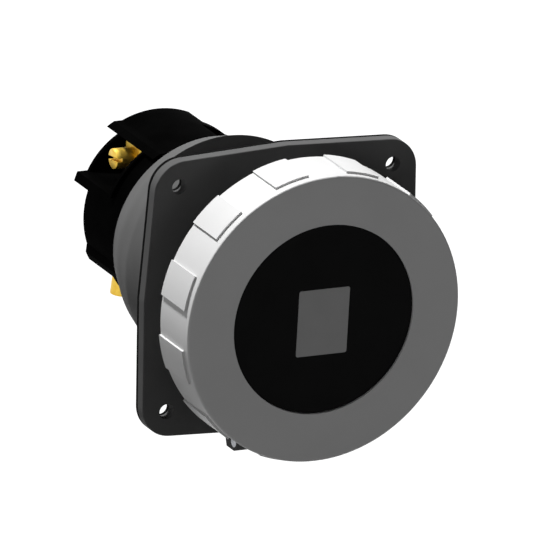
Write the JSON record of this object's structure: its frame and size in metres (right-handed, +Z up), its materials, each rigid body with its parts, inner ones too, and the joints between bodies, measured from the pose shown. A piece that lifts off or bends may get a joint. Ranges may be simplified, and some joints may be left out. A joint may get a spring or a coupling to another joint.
{
  "type": "panel mount power socket",
  "caption": "Round pin-and-sleeve power socket for a panel, with a hinged lid, a bayonet locking ring and screw terminals behind.",
  "frame": {"origin": "centre of the panel face, on the back of the flange's gasket", "axes": "+Z up with the hinge at the bottom, the socket's front towards -Y, +X to the right seen from the front"},
  "size_m": [0.1346, 0.1753, 0.1388],
  "materials": {
    "dark_plastic": "satin",
    "black_plastic": "satin",
    "pale_plastic": "satin",
    "label_grey": "matte",
    "rubber": "matte",
    "brass": "machined",
    "steel": "satin"
  },
  "bodies": {
    "housing": {"flange_housing": "dark_plastic", "rear_shell": "dark_plastic", "panel_gasket": "rubber", "face_seal": "rubber", "socket_face": "black_plastic", "face_skirt": "black_plastic", "face_spacers": "black_plastic", "insulating_tubes": "black_plastic", "pilot_tube": "black_plastic", "contact_carrier": "black_plastic", "hinge_pin": "steel", "face_screws": "steel", "sleeve_springs": "steel", "pilot_contact": "brass", "pilot_screw": "brass", "terminal_screws": "brass", "contact_l1": "brass", "terminal_block_l1": "brass", "contact_l2": "brass", "terminal_block_l2": "brass", "contact_l3": "brass", "terminal_block_l3": "brass", "contact_earth": "brass", "terminal_block_earth": "brass"},
    "lid": {"lid": "black_plastic", "lid_label": "label_grey", "lid_gasket": "rubber"},
    "locking_ring": {"locking_ring": "pale_plastic", "ring_retainer": "pale_plastic"}
  },
  "joints": [
    {"name": "lid_hinge", "type": "hinge", "parent": "housing", "child": "lid", "pos_m": [0, -0.0162, -0.0674], "axis": [1, 0, 0], "range_deg": [0, 110]},
    {"name": "ring_turn", "type": "hinge", "parent": "lid", "child": "locking_ring", "pos_m": [0, -0.045, 0], "axis": [0, 1, 0], "range_deg": [0, 28]}
  ]
}
